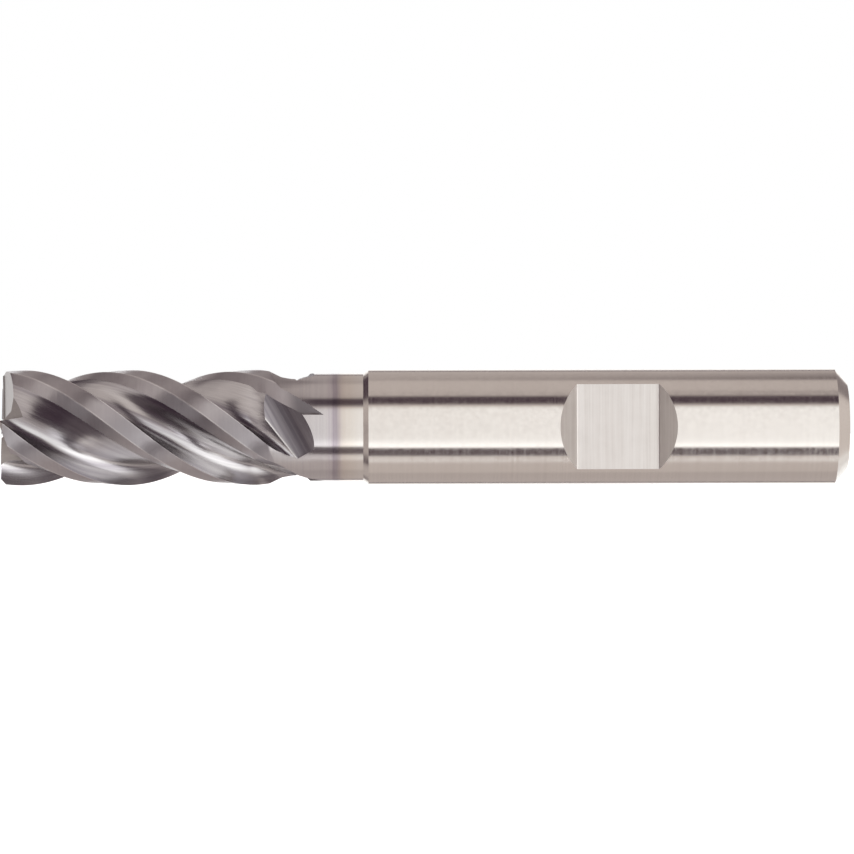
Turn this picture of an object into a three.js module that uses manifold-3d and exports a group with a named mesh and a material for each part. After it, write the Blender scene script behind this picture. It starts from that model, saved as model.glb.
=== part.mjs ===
// Solid-carbide end mill, 10 mm, four flutes, necked, with a flat on its shank for a side-lock holder.
// The tool is built upright: Z is its axis, Z = 0 is the shank's end face and the teeth point to -Z.
// The whole group is then laid down, so that the axis is X, the tip is at -X and the flat faces -Y.
// All lengths are in millimetres and all angles in degrees.

import * as THREE from 'three';
import { mergeVertices } from 'three/addons/utils/BufferGeometryUtils.js';
import Module from 'manifold-3d';

// ---- driving dimensions ----
const OVERALL_LENGTH = 73.4;
const CUT_RADIUS = 5.0;
const SHANK_RADIUS = 5.0;
const NECK_RADIUS = 4.675;
const CUT_LENGTH = 23.2;
const HEAD_LENGTH = 28.1;
const REACH = 31.4;

const HELIX_ANGLE = 38;
const FIRST_TOOTH = -107.8;
const TOOTH_PITCHES = [99, 82, 96, 83];

const PRIMARY_LAND = { turn: 6.7, radius: 4.955 };
const HEEL = { turn: 20.5, radius: 4.84 };
const HEEL_FACET_END = { turn: 34, radius: 4.2 };
const CORE_RADIUS = 3.05;
const CORE_TO_EDGE = 17;
const RADIAL_RAKE = 9;
const SHARPENING = 0.25;
const RUN_OUT_START = 21.6;
const RUN_OUT_LENGTH = 4.4;

const SCOOP = {
  radius: 3.5,
  depth: 1.3,
  behindTip: 23.12,
  beyondEdge: 191,
  lag: 10.7,
  steepness: 62,
  lean: -5,
  wheelLength: 9,
  ridgeSteepness: 51.6,
  ridgeBehindTip: 23.7,
};

const GASH = { angle: 45, lean: 12, width: 2.6, height: 6, length: 12, fromAxis: 1.0, aheadOfEdge: 0.46 };
const END_RELIEF = { angle: 8, behindEdge: 0 };
const END_CLEARANCE = { angle: 20, behindEdge: 0.45 };
const END_DISH = 2;
const END_CUT_DEPTH = 4;

const CORNER_CHAMFER = 0.45;
const NECK_TAPER_LENGTH = 1.1;
const STEP_CHAMFER_LENGTH = 0.45;
const REAR_CHAMFER_LENGTH = 1.05;
const REAR_CHAMFER_DEPTH = 1.2;

const FLAT_DISTANCE = 20;
const FLAT_LENGTH = 7.1;
const FLAT_FROM_AXIS = 3.4;
const FLAT_RAMP = 1.5;

const TAIL_WALL = { turn: 273.5, side: 4, length: 6, shortOfNeck: 1 };
const BACK_LEAN = 52;
const FLUTE_REACH = { back: 0.9, beforeCore: 1.3, afterCore: 1.0, underEdge: 1.3, pastEdge: 1.5 };

const ROUND_SEGMENTS = 96;
const TWIST_STEPS = 44;

// ---- values that follow from them ----
const TIP = -OVERALL_LENGTH;
const LEAD = (2 * Math.PI * CUT_RADIUS) / Math.tan(THREE.MathUtils.degToRad(HELIX_ANGLE));
const TURN_PER_MM = 360 / LEAD;
const OUTSIDE = CUT_RADIUS + 0.7;
const CLEAR_OF_BLANK = OUTSIDE + 0.8;
const OVERRUN = 1;
const CORE_DEPTH = NECK_RADIUS - CORE_RADIUS;
const AXIAL = new THREE.Vector3(0, 0, 1);

const wasm = await Module();
wasm.setup();

// ---- directions around the axis; clock angle 0 is the side of the flat and grows the way the flutes climb ----
function outward(clock) {
  const angle = THREE.MathUtils.degToRad(clock);
  return new THREE.Vector3(Math.sin(angle), -Math.cos(angle), 0);
}

function around(clock) {
  return outward(clock + 90);
}

function polar(radius, clock) {
  const point = outward(clock).multiplyScalar(radius);
  return new THREE.Vector2(point.x, point.y);
}

function tilted(a, b, degrees) {
  const angle = THREE.MathUtils.degToRad(degrees);
  return a.clone().multiplyScalar(Math.cos(angle)).addScaledVector(b, Math.sin(angle));
}

// ---- solids ----
function solidOf(geometry) {
  const bare = geometry.clone();
  bare.deleteAttribute('normal');
  bare.deleteAttribute('uv');
  const merged = mergeVertices(bare, 1e-5);
  const vertProperties = new Float32Array(merged.attributes.position.array);
  const triVerts = new Uint32Array(merged.index.array);
  return new wasm.Manifold(new wasm.Mesh({ numProp: 3, vertProperties, triVerts }));
}

function geometryOf(solid) {
  const mesh = solid.getMesh();
  const geometry = new THREE.BufferGeometry();
  geometry.setAttribute('position', new THREE.BufferAttribute(new Float32Array(mesh.vertProperties), 3));
  geometry.setIndex(new THREE.BufferAttribute(new Uint32Array(mesh.triVerts), 1));
  geometry.computeVertexNormals();
  return geometry;
}

function turned(profile, segments = ROUND_SEGMENTS) {
  const points = profile.map(([radius, z]) => new THREE.Vector2(radius, z));
  const geometry = new THREE.LatheGeometry(points, segments);
  geometry.rotateX(Math.PI / 2);
  return geometry;
}

function placed(geometry, x, y, z, origin) {
  const frame = new THREE.Matrix4().makeBasis(x, y, z);
  frame.setPosition(origin);
  geometry.applyMatrix4(frame);
  return geometry;
}

// A section swept along the helix from one distance behind the tip to another, moved outward by lift(distance).
function helicalSweep(outline, from, to, lift) {
  const shape = new THREE.Shape(outline);
  const steps = Math.ceil((TWIST_STEPS * (to - from)) / HEAD_LENGTH);
  const geometry = new THREE.ExtrudeGeometry(shape, { depth: to - from, steps, bevelEnabled: false });
  const position = geometry.attributes.position;
  for (let i = 0; i < position.count; i += 1) {
    const behindTip = from + position.getZ(i);
    const turn = THREE.MathUtils.degToRad(TURN_PER_MM * behindTip);
    const flat = new THREE.Vector2(position.getX(i), position.getY(i));
    flat.setLength(flat.length() + lift(behindTip));
    flat.rotateAround(new THREE.Vector2(), turn);
    position.setXYZ(i, flat.x, flat.y, TIP + behindTip);
  }
  return solidOf(geometry);
}

function noLift() {
  return 0;
}

function runOutLift(behindTip) {
  const past = Math.max(0, behindTip - RUN_OUT_START) / RUN_OUT_LENGTH;
  return CORE_DEPTH * past ** 1.5;
}

// ---- teeth, each with its clock angle at the tip and the pitch to the next one ----
function toothList() {
  const teeth = [];
  let clock = FIRST_TOOTH;
  for (const pitch of TOOTH_PITCHES) {
    teeth.push({ clock, pitch, next: clock + pitch });
    clock += pitch;
  }
  return teeth;
}

// The turned blank of the head, a little over size where the lands set the diameter.
function headBlank() {
  const oversize = OUTSIDE - CUT_RADIUS;
  const taperSlope = NECK_TAPER_LENGTH / (CUT_RADIUS - NECK_RADIUS);
  return solidOf(turned([
    [0, TIP],
    [CUT_RADIUS - CORNER_CHAMFER, TIP],
    [OUTSIDE, TIP + CORNER_CHAMFER + oversize],
    [OUTSIDE, TIP + CUT_LENGTH - oversize * taperSlope],
    [NECK_RADIUS, TIP + CUT_LENGTH + NECK_TAPER_LENGTH],
    [NECK_RADIUS, TIP + HEAD_LENGTH],
    [0, TIP + HEAD_LENGTH],
  ]));
}

// The outside of the four lands: cutting edge, primary relief, secondary relief and heel of each tooth.
function landForm(teeth) {
  const outline = [];
  for (const { clock, next } of teeth) {
    outline.push(polar(CUT_RADIUS, clock));
    outline.push(polar(PRIMARY_LAND.radius, clock + PRIMARY_LAND.turn));
    outline.push(polar(HEEL.radius, clock + HEEL.turn));
    outline.push(polar(CLEAR_OF_BLANK, clock + HEEL.turn + 1));
    outline.push(polar(CLEAR_OF_BLANK, (clock + HEEL.turn + next) / 2));
    outline.push(polar(CLEAR_OF_BLANK, next - 6));
  }
  return helicalSweep(outline, -OVERRUN, HEAD_LENGTH + OVERRUN, noLift);
}

// One flute: rake face under the next cutting edge, round core, and a long back that rises to the heel facet.
function flute({ clock, next }) {
  const edge = polar(CUT_RADIUS, next + SHARPENING);
  const rakeDirection = tilted(outward(next), around(next), -RADIAL_RAKE);
  const rake = new THREE.Vector2(rakeDirection.x, rakeDirection.y);
  const core = polar(CORE_RADIUS, next - CORE_TO_EDGE);
  const coreTangent = new THREE.Vector2(around(next - CORE_TO_EDGE).x, around(next - CORE_TO_EDGE).y);
  const back = polar(HEEL_FACET_END.radius, clock + HEEL_FACET_END.turn);
  const backTangent = polar(1, clock + HEEL_FACET_END.turn - BACK_LEAN);
  const rising = new THREE.CubicBezierCurve(
    back,
    back.clone().addScaledVector(backTangent, -FLUTE_REACH.back),
    core.clone().addScaledVector(coreTangent, -FLUTE_REACH.beforeCore),
    core,
  );
  const hooking = new THREE.CubicBezierCurve(
    core,
    core.clone().addScaledVector(coreTangent, FLUTE_REACH.afterCore),
    edge.clone().addScaledVector(rake, -FLUTE_REACH.underEdge),
    edge,
  );
  const outline = [
    ...rising.getPoints(4),
    ...hooking.getPoints(5).slice(1),
    edge.clone().addScaledVector(rake, FLUTE_REACH.pastEdge),
    polar(CLEAR_OF_BLANK + 0.8, (clock + HEEL_FACET_END.turn + next) / 2),
    polar(CLEAR_OF_BLANK, clock + HEEL_FACET_END.turn - 5),
  ];
  return helicalSweep(outline, -OVERRUN, HEAD_LENGTH + OVERRUN, runOutLift);
}

// The narrow facet behind each heel. Where the flute runs out it ends at a wall parallel to the axis.
function heelFacet({ clock }) {
  const heel = polar(HEEL.radius, clock + HEEL.turn - SHARPENING);
  const end = polar(HEEL_FACET_END.radius, clock + HEEL_FACET_END.turn);
  const slope = heel.clone().sub(end).normalize();
  const beyond = heel.clone().addScaledVector(slope, 1.2);
  const past = end.clone().addScaledVector(slope, -0.35);
  const outline = [past, polar(OUTSIDE + 0.6, clock + HEEL_FACET_END.turn + 5), beyond];
  const cut = helicalSweep(outline, -OVERRUN, HEAD_LENGTH - 0.1, noLift);
  const wallClock = clock + TAIL_WALL.turn;
  const wall = new THREE.BoxGeometry(TAIL_WALL.side, TAIL_WALL.side, TAIL_WALL.length);
  const origin = outward(wallClock).multiplyScalar(NECK_RADIUS);
  origin.addScaledVector(around(wallClock), TAIL_WALL.side / 2);
  origin.z = TIP + HEAD_LENGTH - TAIL_WALL.shortOfNeck;
  return cut.subtract(solidOf(placed(wall, outward(wallClock), around(wallClock), AXIAL, origin)));
}

// The scoop that a grinding wheel leaves where it lifts out of the flute, steeper than the helix.
// The wheel has a flat side, so the scoop stops at a ridge that runs down to the next cutting edge.
function exitScoop({ next }) {
  const middle = next + SCOOP.beyondEdge;
  const clock = middle - SCOOP.lag;
  const axis = tilted(tilted(AXIAL, around(clock), SCOOP.steepness), outward(clock), SCOOP.lean);
  const side = new THREE.Vector3().crossVectors(axis, outward(clock)).normalize();
  const origin = outward(clock).multiplyScalar(NECK_RADIUS - SCOOP.depth + SCOOP.radius);
  origin.z = TIP + SCOOP.behindTip;
  const rim = new THREE.CylinderGeometry(SCOOP.radius, SCOOP.radius, SCOOP.wheelLength, 48);
  const wheel = solidOf(placed(rim, side, axis, new THREE.Vector3().crossVectors(side, axis), origin));
  const ridge = tilted(AXIAL, around(middle), SCOOP.ridgeSteepness);
  const clear = tilted(AXIAL, around(middle), SCOOP.ridgeSteepness - 90);
  const reach = 8;
  const boxOrigin = clear.clone().multiplyScalar(reach / 2 - 0.15).addScaledVector(outward(middle), CUT_RADIUS);
  boxOrigin.z += TIP + SCOOP.ridgeBehindTip;
  const upward = new THREE.Vector3().crossVectors(clear, ridge);
  const keep = solidOf(placed(new THREE.BoxGeometry(reach, 12, reach), clear, ridge, upward, boxOrigin));
  return wheel.intersect(keep);
}

// The gash in front of each end tooth: its side is the end rake face and its floor climbs out into the flute.
function gash({ clock }) {
  const along = tilted(AXIAL, outward(clock), GASH.angle);
  const up = tilted(outward(clock), AXIAL.clone().negate(), GASH.angle);
  const ahead = tilted(around(clock).negate(), up, GASH.lean);
  const normal = new THREE.Vector3().crossVectors(along, ahead);
  const origin = outward(clock).multiplyScalar(GASH.fromAxis);
  origin.addScaledVector(around(clock), -GASH.aheadOfEdge);
  origin.z = TIP;
  origin.addScaledVector(ahead, GASH.width / 2).addScaledVector(normal, GASH.height / 2);
  return solidOf(placed(new THREE.BoxGeometry(GASH.length, GASH.width, GASH.height), along, ahead, normal, origin));
}

// The relief behind each end cutting edge, with the edge itself dished towards the middle of the tool.
function endGrind({ clock }, { angle, behindEdge }) {
  const sector = new THREE.Shape([
    new THREE.Vector2(0, 0),
    new THREE.Vector2(7, 0),
    new THREE.Vector2(7, 7),
    new THREE.Vector2(2.4, 6.6),
  ]);
  const geometry = new THREE.ExtrudeGeometry(sector, { depth: END_CUT_DEPTH, bevelEnabled: false });
  geometry.translate(0, 0, -END_CUT_DEPTH);
  const along = tilted(outward(clock), AXIAL.clone().negate(), END_DISH);
  const behind = tilted(around(clock), AXIAL, angle);
  const normal = new THREE.Vector3().crossVectors(along, behind).normalize();
  const square = new THREE.Vector3().crossVectors(normal, along);
  const dishDepth = (CUT_RADIUS - CORNER_CHAMFER) * Math.tan(THREE.MathUtils.degToRad(END_DISH));
  const origin = square.clone().multiplyScalar(behindEdge);
  origin.z += TIP + dishDepth;
  return solidOf(placed(geometry, along, square, normal, origin));
}

// ---- the three ground zones of the tool ----
function cuttingHead() {
  const teeth = toothList();
  let head = headBlank().intersect(landForm(teeth));
  for (const tooth of teeth) {
    head = head.subtract(flute(tooth));
    head = head.subtract(heelFacet(tooth));
    head = head.subtract(exitScoop(tooth));
    head = head.subtract(gash(tooth));
    head = head.subtract(endGrind(tooth, END_RELIEF));
    head = head.subtract(endGrind(tooth, END_CLEARANCE));
  }
  return geometryOf(head);
}

function neck() {
  return turned([
    [0, TIP + HEAD_LENGTH],
    [NECK_RADIUS, TIP + HEAD_LENGTH],
    [NECK_RADIUS, TIP + REACH],
    [0, TIP + REACH],
  ]);
}

function shank() {
  const bar = solidOf(turned([
    [0, TIP + REACH],
    [NECK_RADIUS, TIP + REACH],
    [SHANK_RADIUS, TIP + REACH + STEP_CHAMFER_LENGTH],
    [SHANK_RADIUS, -REAR_CHAMFER_LENGTH],
    [SHANK_RADIUS - REAR_CHAMFER_DEPTH, 0],
    [0, 0],
  ]));
  return geometryOf(bar.subtract(flatCutter()));
}

// A trapezium with 45-degree ends, as wide as the bar: what the flat's grinding wheel takes away.
function flatCutter() {
  const halfFloor = FLAT_LENGTH / 2;
  const floor = -FLAT_FROM_AXIS;
  const top = -SHANK_RADIUS - 0.4;
  const rampReach = (FLAT_RAMP * (floor - top)) / (SHANK_RADIUS - FLAT_FROM_AXIS);
  const outline = new THREE.Shape([
    new THREE.Vector2(-FLAT_DISTANCE - halfFloor, floor),
    new THREE.Vector2(-FLAT_DISTANCE - halfFloor - rampReach, top),
    new THREE.Vector2(-FLAT_DISTANCE + halfFloor + rampReach, top),
    new THREE.Vector2(-FLAT_DISTANCE + halfFloor, floor),
  ]);
  const geometry = new THREE.ExtrudeGeometry(outline, { depth: 12, bevelEnabled: false });
  geometry.translate(0, 0, -6);
  const x = new THREE.Vector3(0, 0, 1);
  const y = new THREE.Vector3(0, 1, 0);
  const z = new THREE.Vector3(-1, 0, 0);
  return solidOf(placed(geometry, x, y, z, new THREE.Vector3()));
}

// ---- materials ----
const coatedCarbide = new THREE.MeshStandardMaterial({ color: 0x8f8790, roughness: 0.28, metalness: 0.95 });
const tintedCarbide = new THREE.MeshStandardMaterial({ color: 0xb3a99e, roughness: 0.3, metalness: 0.95 });
const bareCarbide = new THREE.MeshStandardMaterial({ color: 0xbdb5ad, roughness: 0.26, metalness: 1.0 });

// ---- the scene graph ----
const group = new THREE.Group();

function addPart(name, geometry, material) {
  const mesh = new THREE.Mesh(geometry, material);
  mesh.name = name;
  group.add(mesh);
}

addPart('cutting_head', cuttingHead(), coatedCarbide);
addPart('neck', neck(), tintedCarbide);
addPart('shank', shank(), bareCarbide);

group.rotation.y = Math.PI / 2;

export default group;
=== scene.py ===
import math

import bpy
from mathutils import Matrix, Vector


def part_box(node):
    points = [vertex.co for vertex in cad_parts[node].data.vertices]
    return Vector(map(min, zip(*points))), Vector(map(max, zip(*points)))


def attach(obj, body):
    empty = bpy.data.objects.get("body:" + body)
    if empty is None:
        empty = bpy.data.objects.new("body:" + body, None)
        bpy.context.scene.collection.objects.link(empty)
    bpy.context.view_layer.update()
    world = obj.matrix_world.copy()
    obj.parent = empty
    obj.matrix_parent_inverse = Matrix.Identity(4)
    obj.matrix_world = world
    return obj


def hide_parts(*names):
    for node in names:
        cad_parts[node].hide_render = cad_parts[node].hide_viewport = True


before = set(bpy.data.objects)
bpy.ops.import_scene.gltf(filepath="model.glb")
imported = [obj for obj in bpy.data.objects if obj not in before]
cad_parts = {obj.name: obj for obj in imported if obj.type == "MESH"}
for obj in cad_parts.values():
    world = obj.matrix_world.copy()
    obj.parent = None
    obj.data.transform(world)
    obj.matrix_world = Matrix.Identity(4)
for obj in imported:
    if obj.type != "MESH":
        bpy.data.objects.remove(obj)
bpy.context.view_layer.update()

MM = 0.001

# ---- sizes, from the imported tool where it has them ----
HEAD_LOW, HEAD_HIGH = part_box("cutting_head")
NECK_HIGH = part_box("neck")[1]
SHANK_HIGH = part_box("shank")[1]
TIP_X = HEAD_LOW[0]
HEAD_END_X = HEAD_HIGH[0]
NECK_END_X = NECK_HIGH[0]
REAR_X = SHANK_HIGH[0]
SHANK_RADIUS = SHANK_HIGH[2]
CUT_RADIUS = SHANK_RADIUS
NECK_RADIUS = NECK_HIGH[2]
HEAD_LENGTH = HEAD_END_X - TIP_X
OUTSIDE = CUT_RADIUS + 0.7 * MM
OVERRUN = 1 * MM
CLEAR_OF_BLANK = 0.8 * MM
TOUCHING = 1e-6

# ---- the grinder's settings: turns and angles in degrees, the flute curve's handles in millimetres ----
HELIX_ANGLE = 38
FIRST_TOOTH = -107.8
TOOTH_PITCHES = (99, 82, 96, 83)
CUT_LENGTH = 23.2 * MM
PRIMARY_TURN, PRIMARY_RADIUS = 6.7, 4.955 * MM
HEEL_TURN, HEEL_RADIUS = 20.5, 4.84 * MM
FACET_TURN, FACET_RADIUS = 34, 4.2 * MM
CORE_RADIUS = 3.05 * MM
CORE_TO_EDGE = 17
RADIAL_RAKE = 9
SHARPENING = 0.25
RUN_OUT_START = 21.6 * MM
RUN_OUT_LENGTH = 4.4 * MM
CORNER_CHAMFER = 0.45 * MM
NECK_TAPER = 1.1 * MM
STEP_CHAMFER = 0.45 * MM
REAR_CHAMFER = (1.05 * MM, 1.2 * MM)
FLAT_DISTANCE = 20 * MM
FLAT_LENGTH = 7.1 * MM
FLAT_FROM_AXIS = 3.4 * MM
FLAT_RAMP = 1.5 * MM
FLAT_FILLET = 0.16 * MM
FLAT_RINGS = 24

BACK_LEAN = 52
BACK_HANDLE, CORE_RISE_HANDLE, CORE_HOOK_HANDLE, RAKE_HANDLE = 0.9, 1.3, 1.0, 1.3
CORE_DEPTH = NECK_RADIUS - CORE_RADIUS
RUN_OUT_CURVE = 1.5
TAIL_WALL = 273.5

SCOOP_RADIUS = 3.5 * MM
SCOOP_DEPTH = 1.3 * MM
SCOOP_BEHIND_TIP = 23.12 * MM
SCOOP_WHEEL_LENGTH = 9 * MM
SCOOP_BEYOND_EDGE = 191
SCOOP_LAG = 10.7
SCOOP_LEAN = -5
SCOOP_STEEPNESS = 62
RIDGE_STEEPNESS = 51.6
RIDGE_BEHIND_TIP = 23.7 * MM
RIDGE_OVERLAP = 0.15 * MM

GASH_ANGLE = 45
GASH_OPENING = 12
END_RELIEF = 8
END_CLEARANCE = 20
END_LAND = 0.45 * MM
END_DISH = 2
END_CUT_DEPTH = 4 * MM
END_WHEEL_CORNERS = ((0, 0), (7, 0), (7, 7), (2.4, 6.6))

LEAD = 2 * math.pi * CUT_RADIUS / math.tan(math.radians(HELIX_ANGLE))
TURN_PER_METRE = 2 * math.pi / LEAD
AXIAL = Vector((1, 0, 0))
ROUND = 256
SWEEP_STEPS = 150
SMOOTH_BELOW = 24


# ---- directions around the axis; clock angle 0 is the flat's side and grows as the flutes climb ----
def outward(clock):
    angle = math.radians(clock)
    return Vector((0, -math.cos(angle), -math.sin(angle)))


def around(clock):
    return outward(clock + 90)


def polar(radius, clock):
    return outward(clock) * radius


def tilted(a, b, degrees):
    angle = math.radians(degrees)
    return a * math.cos(angle) + b * math.sin(angle)


# ---- work at the bench: every helper leaves one finished object active, at the origin ----
def clear_bench():
    if bpy.context.object and bpy.context.object.mode != "OBJECT":
        bpy.ops.object.mode_set(mode="OBJECT")
    bpy.ops.object.select_all(action="DESELECT")


def only(piece):
    clear_bench()
    piece.select_set(True)
    bpy.context.view_layer.objects.active = piece


def named(name):
    piece = bpy.context.object
    piece.name = name
    piece.data.name = name
    return piece


def apply_place(piece):
    only(piece)
    bpy.ops.object.transform_apply(location=True, rotation=True, scale=True)


def select_none(piece):
    only(piece)
    bpy.ops.object.mode_set(mode="EDIT")
    bpy.ops.mesh.select_mode(type="FACE")
    bpy.ops.mesh.select_all(action="DESELECT")
    bpy.ops.object.mode_set(mode="OBJECT")


def recalculate_outside(piece):
    only(piece)
    bpy.ops.object.mode_set(mode="EDIT")
    bpy.ops.mesh.select_all(action="SELECT")
    bpy.ops.mesh.remove_doubles(threshold=1e-7)
    bpy.ops.mesh.normals_make_consistent(inside=False)
    bpy.ops.object.mode_set(mode="OBJECT")


def apply_modifier(piece, kind, **settings):
    only(piece)
    modifier = piece.modifiers.new(kind, kind)
    for key, value in settings.items():
        setattr(modifier, key, value)
    bpy.ops.object.modifier_apply(modifier=modifier.name)


def cut(piece, cutter, operation="DIFFERENCE"):
    apply_modifier(
        piece, "BOOLEAN", object=cutter, operation=operation, solver="MANIFOLD", material_mode="TRANSFER")
    bpy.data.objects.remove(cutter)


def finished(piece, finish):
    piece.data.materials.clear()
    piece.data.materials.append(finish)
    return piece


# A bar turned in the lathe: a disc is drawn out along X and stepped to each radius of the profile.
def turned_bar(name, profile):
    clear_bench()
    start_x, start_radius = profile[0]
    bpy.ops.mesh.primitive_circle_add(
        vertices=ROUND, radius=start_radius, fill_type="NGON",
        location=(start_x, 0, 0), rotation=(0, math.pi / 2, 0))
    bar = named(name)
    apply_place(bar)
    bpy.ops.object.mode_set(mode="EDIT")
    bpy.ops.mesh.select_all(action="SELECT")
    x, radius = start_x, start_radius
    for next_x, next_radius in profile[1:]:
        bpy.ops.mesh.extrude_region_move(TRANSFORM_OT_translate={"value": (next_x - x, 0, 0)})
        factor = next_radius / radius
        bpy.ops.transform.resize(value=(1, factor, factor), center_override=(next_x, 0, 0))
        x, radius = next_x, next_radius
    bpy.ops.object.mode_set(mode="OBJECT")
    recalculate_outside(bar)
    return bar


# A section drawn across the tool, from a disc whose rim is moved point by point to the outline.
def section(name, outline, x):
    clear_bench()
    bpy.ops.mesh.primitive_circle_add(vertices=len(outline), radius=1, fill_type="NGON")
    piece = named(name)
    for vertex, point in zip(piece.data.vertices, outline):
        vertex.co = Vector((x, point.y, point.z))
    return piece


# The section swept along the helix by the screw modifier, from one distance behind the tip to another.
def helical_bar(name, outline, start, end, steps=SWEEP_STEPS):
    piece = section(name, outline, TIP_X)
    only(piece)
    turn_before = Matrix.Rotation(TURN_PER_METRE * start, 4, "X")
    piece.data.transform(Matrix.Translation((start, 0, 0)) @ turn_before)
    apply_modifier(
        piece, "SCREW", axis="X", angle=TURN_PER_METRE * (end - start), screw_offset=end - start,
        steps=steps, render_steps=steps, use_merge_vertices=False, use_smooth_shade=False)
    bpy.ops.object.mode_set(mode="EDIT")
    bpy.ops.mesh.select_all(action="DESELECT")
    bpy.ops.mesh.select_mode(type="EDGE")
    bpy.ops.mesh.select_non_manifold(extend=False)
    bpy.ops.mesh.fill_holes(sides=0)
    bpy.ops.object.mode_set(mode="OBJECT")
    recalculate_outside(piece)
    return piece


# The far end of a helical bar is drawn on in short steps, each turned with the helix and swelled outwards.
# The rotate operator turns the other way when there is no window, so its angle is negative.
def lift_out(piece, start, end, steps):
    select_none(piece)
    far = TIP_X + start
    for face in piece.data.polygons:
        face.select = all(abs(piece.data.vertices[i].co.x - far) < TOUCHING for i in face.vertices)
    bpy.ops.object.mode_set(mode="EDIT")
    bpy.ops.mesh.select_mode(type="FACE")
    step = (end - start) / steps
    reach = 1.0
    for i in range(steps):
        behind_tip = start + step * (i + 1)
        rise = CORE_DEPTH * ((behind_tip - RUN_OUT_START) / RUN_OUT_LENGTH) ** RUN_OUT_CURVE
        lift = (rise + CORE_RADIUS) / CORE_RADIUS
        grow = lift / reach
        reach = lift
        bpy.ops.mesh.extrude_region_move(TRANSFORM_OT_translate={"value": (step, 0, 0)})
        bpy.ops.transform.rotate(
            value=-TURN_PER_METRE * step, orient_axis="X", center_override=(0, 0, 0))
        bpy.ops.transform.resize(value=(1, grow, grow), center_override=(TIP_X + behind_tip, 0, 0))
    bpy.ops.object.mode_set(mode="OBJECT")
    recalculate_outside(piece)


# A block with its sides along three chosen directions.
def block(name, size, along, across, up, middle):
    clear_bench()
    bpy.ops.mesh.primitive_cube_add(size=1)
    piece = named(name)
    basis = Matrix((along * size[0], across * size[1], up * size[2])).transposed().to_4x4()
    piece.data.transform(Matrix.Translation(middle) @ basis)
    recalculate_outside(piece)
    return piece


def bezier(a, b, c, d, count):
    points = []
    for i in range(count + 1):
        t = i / count
        s = 1 - t
        points.append(a * s ** 3 + b * (3 * s * s * t) + c * (3 * s * t * t) + d * t ** 3)
    return points


# ---- the cutting head ----
def tooth_list():
    teeth = []
    clock = FIRST_TOOTH
    for pitch in TOOTH_PITCHES:
        teeth.append((clock, clock + pitch))
        clock += pitch
    return teeth


def head_blank(finish):
    oversize = OUTSIDE - CUT_RADIUS
    taper_slope = NECK_TAPER / (CUT_RADIUS - NECK_RADIUS)
    bar = turned_bar("fluted_head", [
        (TIP_X, CUT_RADIUS - CORNER_CHAMFER),
        (TIP_X + CORNER_CHAMFER + oversize, OUTSIDE),
        (TIP_X + CUT_LENGTH - oversize * taper_slope, OUTSIDE),
        (TIP_X + CUT_LENGTH + NECK_TAPER, NECK_RADIUS),
        (HEAD_END_X, NECK_RADIUS),
    ])
    bar.data.materials.append(finish)
    return bar


def land_form(teeth):
    outline = []
    for clock, following in teeth:
        outline.append(polar(CUT_RADIUS, clock))
        outline.append(polar(PRIMARY_RADIUS, clock + PRIMARY_TURN))
        outline.append(polar(HEEL_RADIUS, clock + HEEL_TURN))
        outline.append(polar(OUTSIDE + CLEAR_OF_BLANK, clock + HEEL_TURN + 1))
        outline.append(polar(OUTSIDE + CLEAR_OF_BLANK, (clock + HEEL_TURN + following) / 2))
        outline.append(polar(OUTSIDE + CLEAR_OF_BLANK, following - 6))
    return helical_bar("land_form", outline, -OVERRUN, HEAD_LENGTH + OVERRUN)


def flute_cutter(clock, following):
    edge = polar(CUT_RADIUS, following + SHARPENING)
    rake = tilted(outward(following), around(following), -RADIAL_RAKE)
    core = polar(CORE_RADIUS, following - CORE_TO_EDGE)
    core_tangent = around(following - CORE_TO_EDGE)
    back = polar(FACET_RADIUS, clock + FACET_TURN)
    back_tangent = outward(clock + FACET_TURN - BACK_LEAN)
    rising = bezier(
        back, back - back_tangent * BACK_HANDLE * MM, core - core_tangent * CORE_RISE_HANDLE * MM, core, 16)
    hooking = bezier(
        core, core + core_tangent * CORE_HOOK_HANDLE * MM, edge - rake * RAKE_HANDLE * MM, edge, 14)
    outline = rising + hooking[1:]
    outline.append(edge + rake * 1.5 * MM)
    outline.append(polar(OUTSIDE + 2 * CLEAR_OF_BLANK, (clock + FACET_TURN + following) / 2))
    outline.append(polar(OUTSIDE + CLEAR_OF_BLANK, clock + FACET_TURN - 5))
    cutter = helical_bar("flute_cutter", outline, -OVERRUN, RUN_OUT_START, int(SWEEP_STEPS * 0.8))
    lift_out(cutter, RUN_OUT_START, HEAD_LENGTH + OVERRUN, SWEEP_STEPS // 4)
    return cutter


def heel_cutter(clock):
    heel = polar(HEEL_RADIUS, clock + HEEL_TURN - SHARPENING)
    end = polar(FACET_RADIUS, clock + FACET_TURN)
    slope = (heel - end).normalized()
    outline = [
        end - slope * 0.35 * MM,
        polar(OUTSIDE + 0.6 * MM, clock + FACET_TURN + 5),
        heel + slope * 1.2 * MM,
    ]
    cutter = helical_bar("heel_cutter", outline, -OVERRUN, HEAD_LENGTH - 0.1 * MM)
    wall_clock = clock + TAIL_WALL
    out, over = outward(wall_clock), around(wall_clock)
    middle = out * NECK_RADIUS + over * 2 * MM
    middle.x = HEAD_END_X - OVERRUN
    wall = block("heel_wall", (4 * MM, 4 * MM, 6 * MM), out, over, AXIAL, middle)
    cut(cutter, wall)
    return cutter


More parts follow.
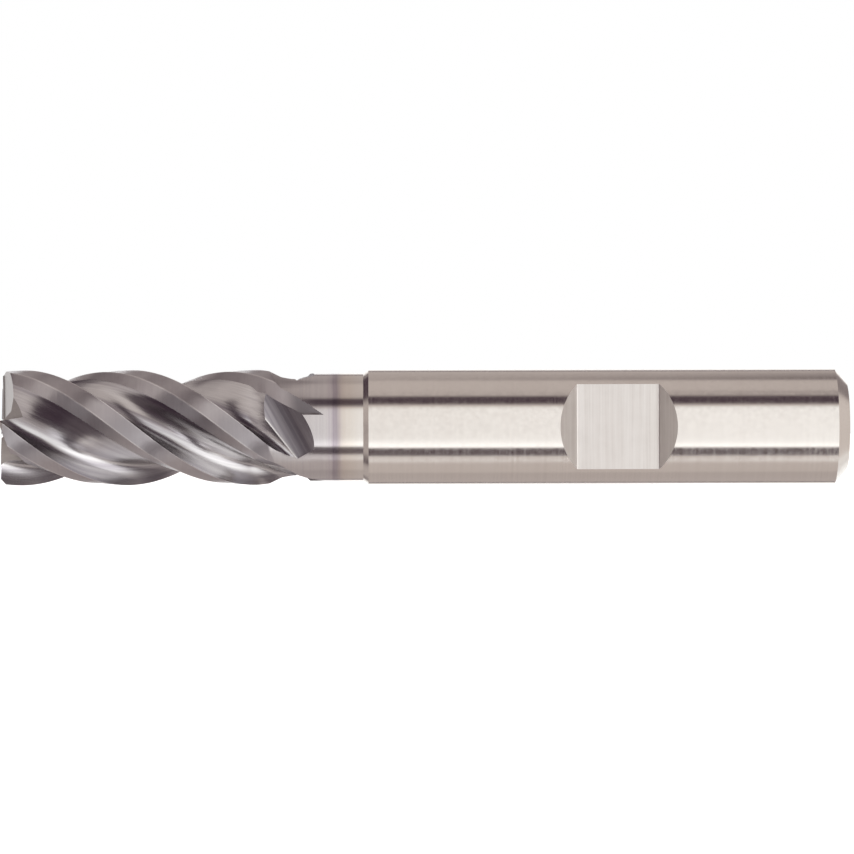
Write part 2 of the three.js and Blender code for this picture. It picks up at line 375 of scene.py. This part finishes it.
# A grinding wheel's flank, kept on one side of the ridge that it leaves.
def scoop_cutter(following):
    middle = following + SCOOP_BEYOND_EDGE
    clock = middle - SCOOP_LAG
    axis = tilted(tilted(AXIAL, around(clock), SCOOP_STEEPNESS), outward(clock), SCOOP_LEAN)
    side = axis.cross(outward(clock)).normalized()
    centre = outward(clock) * (NECK_RADIUS - SCOOP_DEPTH + SCOOP_RADIUS)
    centre.x = TIP_X + SCOOP_BEHIND_TIP
    clear_bench()
    bpy.ops.mesh.primitive_cylinder_add(vertices=ROUND, radius=SCOOP_RADIUS, depth=SCOOP_WHEEL_LENGTH)
    wheel = named("scoop_cutter")
    basis = Matrix((side, axis.cross(side), axis)).transposed().to_4x4()
    wheel.data.transform(Matrix.Translation(centre) @ basis)
    ridge = tilted(AXIAL, around(middle), RIDGE_STEEPNESS)
    clear = tilted(AXIAL, around(middle), RIDGE_STEEPNESS - 90)
    reach = 8 * MM
    keep_middle = clear * (reach / 2 - RIDGE_OVERLAP) + outward(middle) * CUT_RADIUS
    keep_middle.x += TIP_X + RIDGE_BEHIND_TIP
    keep = block("scoop_side", (reach, 12 * MM, reach), clear, ridge, clear.cross(ridge), keep_middle)
    recalculate_outside(wheel)
    cut(wheel, keep, "INTERSECT")
    return wheel


def gash_cutter(clock):
    along = tilted(AXIAL, outward(clock), GASH_ANGLE)
    up = tilted(outward(clock), -AXIAL, GASH_ANGLE)
    ahead = tilted(-around(clock), up, GASH_OPENING)
    normal = along.cross(ahead)
    width, height = 2.6 * MM, 6 * MM
    middle = outward(clock) * 1.0 * MM - around(clock) * 0.46 * MM
    middle.x = TIP_X
    middle += ahead * width / 2 + normal * height / 2
    return block("gash_cutter", (12 * MM, width, height), along, ahead, normal, middle)


def relief_cutter(clock, relief_angle, behind_edge):
    along = tilted(outward(clock), -AXIAL, END_DISH)
    behind = tilted(around(clock), AXIAL, relief_angle)
    normal = along.cross(behind).normalized()
    square = normal.cross(along)
    origin = square * behind_edge
    origin.x += TIP_X + (CUT_RADIUS - CORNER_CHAMFER) * math.tan(math.radians(END_DISH))
    clear_bench()
    bpy.ops.mesh.primitive_plane_add(size=1)
    piece = named("relief_cutter")
    ring = piece.data.polygons[0].vertices
    for index, (u, v) in zip(ring, END_WHEEL_CORNERS):
        piece.data.vertices[index].co = origin + along * u * MM + square * v * MM
    only(piece)
    bpy.ops.object.mode_set(mode="EDIT")
    bpy.ops.mesh.select_all(action="SELECT")
    bpy.ops.mesh.extrude_region_move(TRANSFORM_OT_translate={"value": tuple(-normal * END_CUT_DEPTH)})
    bpy.ops.object.mode_set(mode="OBJECT")
    recalculate_outside(piece)
    return piece


def cutting_head(finishes):
    teeth = tooth_list()
    head = head_blank(finishes["neck"])
    cut(head, finished(land_form(teeth), finishes["land"]), "INTERSECT")
    for number, (clock, following) in enumerate(teeth):
        cut(head, finished(flute_cutter(clock, following), finishes["flute"]))
        cut(head, finished(heel_cutter(clock), finishes["land"]))
        cut(head, finished(scoop_cutter(following), finishes["scoop"][number]))
        cut(head, finished(gash_cutter(clock), finishes["gash"]))
        cut(head, finished(relief_cutter(clock, END_RELIEF, 0), finishes["gash"]))
        cut(head, finished(relief_cutter(clock, END_CLEARANCE, END_LAND), finishes["gash"]))
    return head


# ---- the neck and the shank ----
def neck_bar(finish):
    bar = turned_bar("relieved_neck", [(HEAD_END_X, NECK_RADIUS), (NECK_END_X, NECK_RADIUS)])
    return finished(bar, finish)


# The bar has close rings under the flat, so that its faces stay small where the flat is cut into it.
def shank_bar(finish, flat_finish):
    half = FLAT_LENGTH / 2 + FLAT_RAMP + 0.5 * MM
    first = -FLAT_DISTANCE - half
    under_flat = [(first + 2 * half * i / FLAT_RINGS, SHANK_RADIUS) for i in range(FLAT_RINGS + 1)]
    bar = turned_bar("ground_shank", [
        (NECK_END_X, NECK_RADIUS),
        (NECK_END_X + STEP_CHAMFER, SHANK_RADIUS),
        *under_flat,
        (REAR_X - REAR_CHAMFER[0], SHANK_RADIUS),
        (REAR_X, SHANK_RADIUS - REAR_CHAMFER[1]),
    ])
    finished(bar, finish)
    cut(bar, finished(flat_cutter(), flat_finish))
    fillet_flat(bar)
    return bar


# The wheel's rounded corners, where the floor of the flat turns up into its two ramps.
def fillet_flat(bar):
    select_none(bar)
    corners = [vertex.co for vertex in bar.data.vertices]
    for edge in bar.data.edges:
        ends = [corners[i] for i in edge.vertices]
        on_floor = all(abs(end.y + FLAT_FROM_AXIS) < TOUCHING for end in ends)
        at_ramp = all(abs(abs(end.x + FLAT_DISTANCE) - FLAT_LENGTH / 2) < TOUCHING for end in ends)
        edge.select = on_floor and at_ramp
    bpy.ops.object.mode_set(mode="EDIT")
    bpy.ops.mesh.select_mode(type="EDGE")
    bpy.ops.mesh.bevel(offset=FLAT_FILLET, segments=4, clamp_overlap=True)
    bpy.ops.object.mode_set(mode="OBJECT")


# A block with its ends spread into ramps: what the flat's grinding wheel takes away.
def flat_cutter():
    top = SHANK_RADIUS + 0.4 * MM
    ramp = FLAT_RAMP * (top - FLAT_FROM_AXIS) / (SHANK_RADIUS - FLAT_FROM_AXIS)
    half = FLAT_LENGTH / 2
    middle = -FLAT_DISTANCE
    cutter = block(
        "flat_cutter", (FLAT_LENGTH, top - FLAT_FROM_AXIS, 12 * MM),
        AXIAL, Vector((0, 1, 0)), Vector((0, 0, 1)),
        Vector((middle, -(top + FLAT_FROM_AXIS) / 2, 0)))
    for vertex in cutter.data.vertices:
        if vertex.co.y < -FLAT_FROM_AXIS - 0.1 * MM:
            vertex.co.x = middle + math.copysign(half + ramp, vertex.co.x - middle)
    return cutter


# ---- finishes ----
COAT = (0.44, 0.42, 0.43)
BARE = (0.64, 0.608, 0.572)


# A metal whose colour, gloss and grinding lines are built up from nodes on Object coordinates.
class Finish:
    def __init__(self, name, colour, roughness, anisotropy=0.0):
        self.material = bpy.data.materials.new(name)
        self.material.use_nodes = True
        self.tree = self.material.node_tree
        self.shader = self.tree.nodes["Principled BSDF"]
        self.shader.inputs["Base Color"].default_value = (*colour, 1)
        self.shader.inputs["Metallic"].default_value = 1.0
        self.shader.inputs["Roughness"].default_value = roughness
        self.shader.inputs["Anisotropic"].default_value = anisotropy
        self.place = self.add("ShaderNodeTexCoord").outputs["Object"]

    def add(self, kind, settings=None, **sockets):
        node = self.tree.nodes.new(kind)
        for key, value in (settings or {}).items():
            setattr(node, key, value)
        for key, value in sockets.items():
            socket = node.inputs[int(key[1:])] if key[0] == "i" and key[1:].isdigit() else node.inputs[key]
            if isinstance(value, bpy.types.NodeSocket):
                self.tree.links.new(value, socket)
            else:
                socket.default_value = value
        return node

    def maths(self, operation, a, b=0.0, clamp=False):
        node = self.add("ShaderNodeMath", {"operation": operation, "use_clamp": clamp}, i0=a, i1=b)
        return node.outputs[0]

    def noise(self, vector, scale=1.0, detail=4.0, roughness=0.6):
        node = self.add("ShaderNodeTexNoise", Vector=vector, Scale=scale, Detail=detail, Roughness=roughness)
        return node.outputs["Fac"]

    def stretched(self, vector, scales):
        return self.add("ShaderNodeVectorMath", {"operation": "MULTIPLY"}, i0=vector, i1=scales).outputs[0]

    def ramp(self, value, stops):
        node = self.add("ShaderNodeValToRGB", Fac=value)
        elements = node.color_ramp.elements
        while len(elements) < len(stops):
            elements.new(0.5)
        for element, (position, colour) in zip(elements, stops):
            element.position = position
            element.color = (*colour, 1)
        return node.outputs["Color"]

    def spread(self, value, low, high, to_low, to_high):
        node = self.add("ShaderNodeMapRange", i0=value, i1=low, i2=high, i3=to_low, i4=to_high)
        return node.outputs[0]

    # The middle of a noise's range, as a share that goes from nothing to the most given.
    def share(self, value, most):
        return self.spread(value, 0.3, 0.7, 0.0, most)

    # How far a place lies along a direction.
    def along(self, direction, vector):
        return self.add(
            "ShaderNodeVectorMath", {"operation": "DOT_PRODUCT"}, i0=vector, i1=tuple(direction)).outputs[1]

    def mix(self, factor, a, b):
        node = self.add("ShaderNodeMix", {"data_type": "RGBA"})
        for index, value in ((0, factor), (6, a), (7, b)):
            if isinstance(value, bpy.types.NodeSocket):
                self.tree.links.new(value, node.inputs[index])
            elif index == 0:
                node.inputs[index].default_value = value
            else:
                node.inputs[index].default_value = (*value, 1)
        return node.outputs[2]

    def into(self, name, value):
        self.tree.links.new(value, self.shader.inputs[name])

    def grind(self, height, depth):
        bump = self.add("ShaderNodeBump", Strength=1.0, Distance=depth, Height=height)
        self.tree.links.new(bump.outputs[0], self.shader.inputs["Normal"])

    def constant(self, x, y, z):
        return self.add("ShaderNodeCombineXYZ", X=float(x), Y=float(y), Z=float(z)).outputs[0]

    # Reflections are drawn out along this direction, as they are across fine parallel grinding lines.
    def brushed_across(self, direction):
        self.tree.links.new(direction, self.shader.inputs["Tangent"])

    # The place on the tool with the twist of the flutes taken out, so that a line along X follows the helix.
    def untwisted(self):
        x = self.add("ShaderNodeSeparateXYZ", Vector=self.place).outputs[0]
        angle = self.maths("MULTIPLY", self.maths("SUBTRACT", x, TIP_X), -TURN_PER_METRE)
        return self.add(
            "ShaderNodeVectorRotate", {"rotation_type": "X_AXIS"}, Vector=self.place, Angle=angle).outputs[0]


# A painted highlight: a thin strip behind each cutting edge and along each heel, where the lands' colour is
# lifted to near white in place of the highlight that the sharp edges would catch.
def painted_edge_highlight(finish):
    untwisted = finish.untwisted()
    painted_highlight = None
    for clock, _ in tooth_list():
        for turn, width, strength in ((0.2, 0.10 * MM, 0.55), (HEEL_TURN - 0.6, 0.12 * MM, 0.4)):
            off = finish.maths("ABSOLUTE", finish.along(around(clock + turn), untwisted))
            strip = finish.spread(off, width * 0.35, width, strength, 0.0)
            out = finish.along(outward(clock + turn), untwisted)
            strip = finish.maths("MULTIPLY", strip, finish.spread(out, 0, CORE_RADIUS, 0.0, 1.0))
            painted_highlight = strip if painted_highlight is None else finish.maths("ADD", painted_highlight, strip, clamp=True)
    return painted_highlight


def coated_lands():
    finish = Finish("coated_land_grind", COAT, 0.4, 0.8)
    finish.brushed_across(finish.constant(1, 0, 0))
    lines = finish.stretched(finish.untwisted(), (6500, 500, 500))
    fine = finish.noise(lines, 1.0, 4.0)
    cloud = finish.noise(finish.place, 420, 4.0)
    tone = finish.mix(finish.share(cloud, 0.6), COAT, (0.39, 0.35, 0.37))
    tone = finish.mix(finish.share(fine, 0.4), tone, (0.50, 0.47, 0.475))
    # The lands' colour goes to near white along the edges: painted highlight.
    finish.into("Base Color", finish.mix(painted_edge_highlight(finish), tone, (0.86, 0.84, 0.82)))
    finish.into("Roughness", finish.spread(cloud, 0.3, 0.7, 0.34, 0.46))
    finish.grind(fine, 1.0e-6)
    return finish.material


def coated_flutes():
    finish = Finish("coated_flute_polish", COAT, 0.2, 0.5)
    x, y, z = finish.add("ShaderNodeSeparateXYZ", Vector=finish.place).outputs
    finish.brushed_across(finish.add(
        "ShaderNodeCombineXYZ", X=1.0, Y=finish.maths("MULTIPLY", z, -TURN_PER_METRE),
        Z=finish.maths("MULTIPLY", y, TURN_PER_METRE)).outputs[0])
    finish.shader.inputs["Anisotropic Rotation"].default_value = 0.25
    lines = finish.stretched(finish.untwisted(), (70, 5200, 5200))
    fine = finish.noise(lines, 1.0, 3.0)
    broad = finish.noise(finish.stretched(finish.untwisted(), (50, 1100, 1100)), 1.0, 2.0)
    cloud = finish.noise(finish.place, 260, 3.0)
    # The flutes carry the same coat as the lands but are painted brighter (0.53 to 0.62 against 0.44 to
    # 0.50): a painted highlight that brightens their reflections.
    tone = finish.mix(finish.share(cloud, 0.7), (0.53, 0.515, 0.515), COAT)
    streak = finish.noise(finish.stretched(finish.untwisted(), (45, 750, 750)), 1.0, 3.0)
    tone = finish.mix(finish.spread(streak, 0.40, 0.64, 0.0, 0.85), tone, (0.17, 0.145, 0.18))
    finish.into("Base Color", finish.mix(finish.share(fine, 0.4), tone, (0.62, 0.61, 0.605)))
    finish.into("Roughness", finish.spread(broad, 0.3, 0.7, 0.17, 0.27))
    finish.grind(finish.maths("ADD", fine, finish.maths("MULTIPLY", broad, 3.0)), 6.5e-6)
    return finish.material


def coated_scoop(number, following):
    middle = following + SCOOP_BEYOND_EDGE
    clock = middle - SCOOP_LAG
    side = tilted(AXIAL, around(clock), SCOOP_STEEPNESS).cross(outward(clock)).normalized()
    finish = Finish("scoop_grind_" + str(number + 1), COAT, 0.42, 0.5)
    across = finish.along(side, finish.place)
    slow = finish.stretched(finish.place, (120, 120, 120))
    lines = finish.add("ShaderNodeCombineXYZ", X=finish.maths("MULTIPLY", across, 6500)).outputs[0]
    lines = finish.add("ShaderNodeVectorMath", {"operation": "ADD"}, i0=lines, i1=slow).outputs[0]
    fine = finish.noise(lines, 1.0, 3.0)
    tone = finish.mix(finish.share(fine, 0.8), (0.32, 0.30, 0.33), (0.50, 0.48, 0.50))
    # A painted highlight: the colour goes to near white in a thin strip just beside the ridge that the scoop
    # leaves.
    clear = tilted(AXIAL, around(clock + SCOOP_LAG), RIDGE_STEEPNESS - 90)
    beyond = finish.along(clear, finish.place)
    ridge_place = clear.x * (TIP_X + RIDGE_BEHIND_TIP) + clear.dot(outward(clock + SCOOP_LAG)) * CUT_RADIUS
    ridge_place -= RIDGE_OVERLAP
    painted_ridge_highlight = finish.spread(beyond, ridge_place + 0.05 * MM, ridge_place + 0.16 * MM, 0.8, 0.0)
    finish.into("Base Color", finish.mix(painted_ridge_highlight, tone, (0.93, 0.92, 0.90)))
    finish.grind(fine, 2.5e-6)
    return finish.material


def coated_gash():
    finish = Finish("gash_grind", COAT, 0.34, 0.3)
    fine = finish.noise(finish.stretched(finish.place, (900, 5000, 5000)), 1.0, 3.0)
    tone = finish.mix(finish.share(fine, 0.6), (0.36, 0.34, 0.335), (0.44, 0.42, 0.41))
    finish.into("Base Color", tone)
    finish.grind(fine, 1.0e-6)
    return finish.material


def along_tool(finish, low, high, to_low=0.0, to_high=1.0):
    x = finish.add("ShaderNodeSeparateXYZ", Vector=finish.place).outputs[0]
    return finish.spread(x, low, high, to_low, to_high)


def fading_coating():
    finish = Finish("coating_fade", BARE, 0.2, 0.6)
    finish.brushed_across(finish.constant(1, 0, 0))
    ring = finish.noise(finish.stretched(finish.place, (5200, 40, 40)), 1.0, 4.0)
    wander = finish.noise(finish.place, 500, 2.0)
    across = along_tool(finish, HEAD_END_X, NECK_END_X)
    across = finish.maths("ADD", across, finish.spread(wander, 0.3, 0.7, -0.02, 0.02))
    colour = finish.ramp(across, [
        (0.0, (0.48, 0.455, 0.46)), (0.14, (0.45, 0.415, 0.435)), (0.22, (0.30, 0.26, 0.30)),
        (0.30, (0.31, 0.27, 0.30)), (0.38, (0.44, 0.39, 0.38)), (0.47, (0.56, 0.505, 0.46)),
        (0.66, (0.61, 0.565, 0.515)), (0.9, BARE)])
    finish.into("Base Color", finish.mix(finish.share(ring, 0.25), colour, (0.72, 0.68, 0.64)))
    finish.into("Roughness", along_tool(finish, TIP_X + 24.2 * MM, TIP_X + 27.2 * MM, 0.42, 0.2))
    finish.grind(ring, 0.5e-6)
    return finish.material


def bright_shank():
    finish = Finish("cylindrical_grind", BARE, 0.2, 0.6)
    finish.brushed_across(finish.constant(1, 0, 0))
    ring = finish.noise(finish.stretched(finish.place, (6500, 35, 35)), 1.0, 4.0)
    band = finish.noise(finish.stretched(finish.place, (500, 20, 20)), 1.0, 2.0)
    speck = finish.noise(finish.stretched(finish.place, (2500, 2500, 2500)), 1.0, 2.0)
    tone = finish.mix(finish.share(band, 0.5), BARE, (0.61, 0.57, 0.535))
    tone = finish.mix(finish.spread(ring, 0.35, 0.65, 0.0, 0.3), tone, (0.73, 0.69, 0.65))
    finish.into("Base Color", tone)
    finish.into("Roughness", finish.spread(finish.maths("ADD", ring, speck), 0.7, 1.3, 0.14, 0.24))
    finish.grind(ring, 0.6e-6)
    return finish.material


def cross_ground_flat():
    finish = Finish("flat_grind", (0.66, 0.63, 0.60), 0.34, 0.6)
    finish.brushed_across(finish.constant(1, 0, 0))
    lines = finish.noise(finish.stretched(finish.place, (5200, 400, 90)), 1.0, 4.0)
    cloud = finish.noise(finish.place, 700, 4.0)
    tone = finish.mix(finish.share(cloud, 0.6), (0.67, 0.635, 0.605), (0.59, 0.555, 0.525))
    finish.into("Base Color", finish.mix(finish.share(lines, 0.6), tone, (0.78, 0.755, 0.73)))
    finish.grind(finish.maths("ADD", lines, finish.maths("MULTIPLY", cloud, 0.4)), 1.6e-6)
    return finish.material


# ---- the studio ----
BASE_LEVEL = 0.6
DEEP_SHADE = (0.035, 0.010, 0.032)
WARM_WALLS = (1.0, 0.91, 0.86)
BLACK = (0, 0, 0)
WHITE = (1, 1, 1)


# The surroundings are painted by direction: azimuth 0 is straight in front of the tool, and it grows
# towards the shank. What is painted later covers what is under it.
class Surroundings:
    def __init__(self):
        self.world = bpy.data.worlds.new("studio")
        self.world.use_nodes = True
        self.nodes = self.world.node_tree.nodes
        self.links = self.world.node_tree.links
        split = self.nodes.new("ShaderNodeSeparateXYZ")
        self.links.new(self.nodes.new("ShaderNodeTexCoord").outputs["Generated"], split.inputs[0])
        x, y, z = split.outputs
        self.azimuth = self.maths("DEGREES", self.maths("ARCTAN2", x, self.maths("MULTIPLY", y, -1.0)))
        self.height = self.maths("DEGREES", self.maths("ARCSINE", z))
        self.around = self.maths("ABSOLUTE", self.azimuth)
        self.level = BASE_LEVEL

    def maths(self, operation, a, b=0.0):
        node = self.nodes.new("ShaderNodeMath")
        node.operation = operation
        for socket, value in ((node.inputs[0], a), (node.inputs[1], b)):
            if isinstance(value, bpy.types.NodeSocket):
                self.links.new(value, socket)
            else:
                socket.default_value = value
        return node.outputs[0]

    def step(self, value, low, high):
        node = self.nodes.new("ShaderNodeMapRange")
        node.interpolation_type = "SMOOTHSTEP"
        self.links.new(value, node.inputs[0])
        node.inputs[1].default_value = low
        node.inputs[2].default_value = high
        return node.outputs[0]

    def band(self, value, low, high, soft):
        rise = self.step(value, low - soft, low + soft)
        fall = self.step(value, high - soft, high + soft)
        return self.maths("SUBTRACT", rise, fall)

    def paint(self, level, mask):
        mix = self.nodes.new("ShaderNodeMix")
        self.links.new(mask, mix.inputs[0])
        if isinstance(self.level, bpy.types.NodeSocket):
            self.links.new(self.level, mix.inputs[2])
        else:
            mix.inputs[2].default_value = self.level
        mix.inputs[3].default_value = level
        self.level = mix.outputs[0]

    def panel(self, level, azimuths, heights, soft=(5, 5), tilt=0.0):
        height = self.height
        if tilt:
            height = self.maths("SUBTRACT", height, self.maths("MULTIPLY", self.azimuth, tilt))
        across = self.band(self.azimuth, *azimuths, soft[0])
        self.paint(level, self.maths("MULTIPLY", across, self.band(height, *heights, soft[1])))

    def blend(self, factor, a, b):
        node = self.nodes.new("ShaderNodeMix")
        node.data_type = "RGBA"
        self.links.new(factor, node.inputs[0])
        for socket, value in ((node.inputs[6], a), (node.inputs[7], b)):
            if isinstance(value, bpy.types.NodeSocket):
                self.links.new(value, socket)
            else:
                socket.default_value = (*value, 1)
        return node.outputs[2]

    # Dim walls are warm and bright ones white; the darkest keep a little violet. The camera sees white.
    def finish(self):
        shade = self.blend(self.level, DEEP_SHADE, BLACK)
        tint = self.blend(self.step(self.level, 0.75, 1.35), WARM_WALLS, WHITE)
        lit = self.nodes.new("ShaderNodeVectorMath")
        lit.operation = "MULTIPLY_ADD"
        self.links.new(tint, lit.inputs[0])
        self.links.new(self.level, lit.inputs[1])
        self.links.new(shade, lit.inputs[2])
        camera_ray = self.nodes.new("ShaderNodeLightPath").outputs["Is Camera Ray"]
        seen = self.blend(camera_ray, lit.outputs[0], WHITE)
        self.links.new(seen, self.nodes["Background"].inputs[0])
        bpy.context.scene.world = self.world


# Each panel has its brightness, its azimuths, its heights and how soft its edges are.
def studio_world():
    studio = Surroundings()
    behind = studio.step(studio.around, 105, 125)
    studio.paint(0.25, studio.maths("MULTIPLY", behind, studio.band(studio.height, -33, 33, 3)))
    studio.paint(1.3, studio.maths("MULTIPLY", behind, studio.band(studio.height, -24, 24, 4)))
    studio.panel(0.12, (88, 170), (38, 72), (6, 6))
    studio.panel(0.30, (112, 160), (10, 32), (5, 5))
    studio.panel(0.85, (80, 122), (-40, 26), (4, 6))
    studio.panel(0.16, (62, 84), (-70, -6), (5, 6))
    studio.panel(0.06, (-150, -86), (12, 56), (6, 6))
    studio.panel(0.72, (-85, -2), (22, 74), (6, 6))
    studio.panel(0.90, (-64, -16), (10, 38), (5, 5))
    studio.panel(0.05, (-66, -14), (-42, 8), (4, 4))
    studio.panel(0.12, (-110, -14), (-66, -36), (6, 4))
    studio.panel(1.0, (-95, 95), (-90, -66), (10, 4))
    studio.panel(1.15, (6, 84), (-20, 8), (5, 5), tilt=0.4)
    studio.panel(2.1, (-15, 60), (-82, -14), (4, 6), tilt=0.4)
    studio.panel(0.05, (-6, 92), (5, 66), (5, 6), tilt=0.4)
    studio.panel(0.85, (-12, 0), (-28, 46), (5, 6))
    studio.paint(0.70, studio.step(studio.height, 70, 76))
    studio.paint(0.72, studio.step(studio.height, -72, -78))
    studio.panel(0.70, (-6, 22), (56, 80), (4, 3))
    studio.panel(0.70, (-6, 22), (-80, -50), (4, 3))
    studio.panel(1.42, (-3, 20), (-37, 43), (4, 7))
    studio.panel(0.06, (-32, 24), (47, 64), (5, 3))
    studio.panel(0.12, (-32, 22), (-60, -42), (5, 2))
    studio.finish()


def soft_light(name, place, target, size, power):
    lamp = bpy.data.lights.new(name, "AREA")
    lamp.size = size
    lamp.energy = power
    holder = bpy.data.objects.new(name, lamp)
    bpy.context.scene.collection.objects.link(holder)
    holder.location = place
    holder.rotation_euler = (Vector(target) - Vector(place)).to_track_quat("-Z", "Y").to_euler()
    holder.visible_glossy = False


FLOOR_DROP = 45 * MM
FLOOR_SIZE = 60
FLOOR_SHADE = 0.93
FLOOR_GLOW = 0.9


def pale_floor():
    clear_bench()
    bpy.ops.mesh.primitive_plane_add(size=FLOOR_SIZE, location=(0, 0, -CUT_RADIUS - FLOOR_DROP))
    floor = named("floor")
    apply_place(floor)
    material = bpy.data.materials.new("pale_floor")
    material.use_nodes = True
    shader = material.node_tree.nodes["Principled BSDF"]
    shader.inputs["Base Color"].default_value = (FLOOR_SHADE, FLOOR_SHADE, FLOOR_SHADE, 1)
    shader.inputs["Roughness"].default_value = 0.9
    shader.inputs["Emission Color"].default_value = (1, 1, 1, 1)
    shader.inputs["Emission Strength"].default_value = FLOOR_GLOW
    floor.data.materials.append(material)
    floor.visible_glossy = False


CAMERA_DISTANCE = 420 * MM
CAMERA_X = TIP_X + 31.4 * MM
AIM_X = TIP_X + 36.94 * MM
VIEW_WIDTH = 74.24 * MM
CAMERA_ROLL = -0.13
SENSOR_WIDTH = 36


def camera():
    data = bpy.data.cameras.new("camera")
    holder = bpy.data.objects.new("camera", data)
    bpy.context.scene.collection.objects.link(holder)
    place = Vector((CAMERA_X, -CAMERA_DISTANCE, 0))
    aim = Vector((AIM_X, 0, 0))
    holder.location = place
    level = (aim - place).to_track_quat("-Z", "Y").to_matrix()
    holder.rotation_euler = (level @ Matrix.Rotation(math.radians(CAMERA_ROLL), 3, "Z")).to_euler()
    data.sensor_width = SENSOR_WIDTH
    data.lens = SENSOR_WIDTH / 2 / (VIEW_WIDTH / 2 / (aim - place).length)
    data.clip_start = 0.01
    bpy.context.scene.camera = holder


# ---- assembly ----
camera()
studio_world()
soft_light("overhead", (-0.03, -0.15, 0.7), (-0.03, 0.05, 0), 0.8, 9)
pale_floor()

finishes = {
    "neck": fading_coating(),
    "land": coated_lands(),
    "flute": coated_flutes(),
    "scoop": [coated_scoop(number, following) for number, (clock, following) in enumerate(tooth_list())],
    "gash": coated_gash(),
}
pieces = (
    (cutting_head(finishes), "cutting_head", "coated_carbide"),
    (neck_bar(finishes["neck"]), "neck", "tinted_carbide"),
    (shank_bar(bright_shank(), cross_ground_flat()), "shank", "bare_carbide"),
)
for piece, node, slot in pieces:
    only(piece)
    bpy.ops.object.shade_smooth_by_angle(angle=math.radians(SMOOTH_BELOW))
    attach(piece, "root")
    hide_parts(node)

bpy.context.scene.view_settings.view_transform = "Standard"
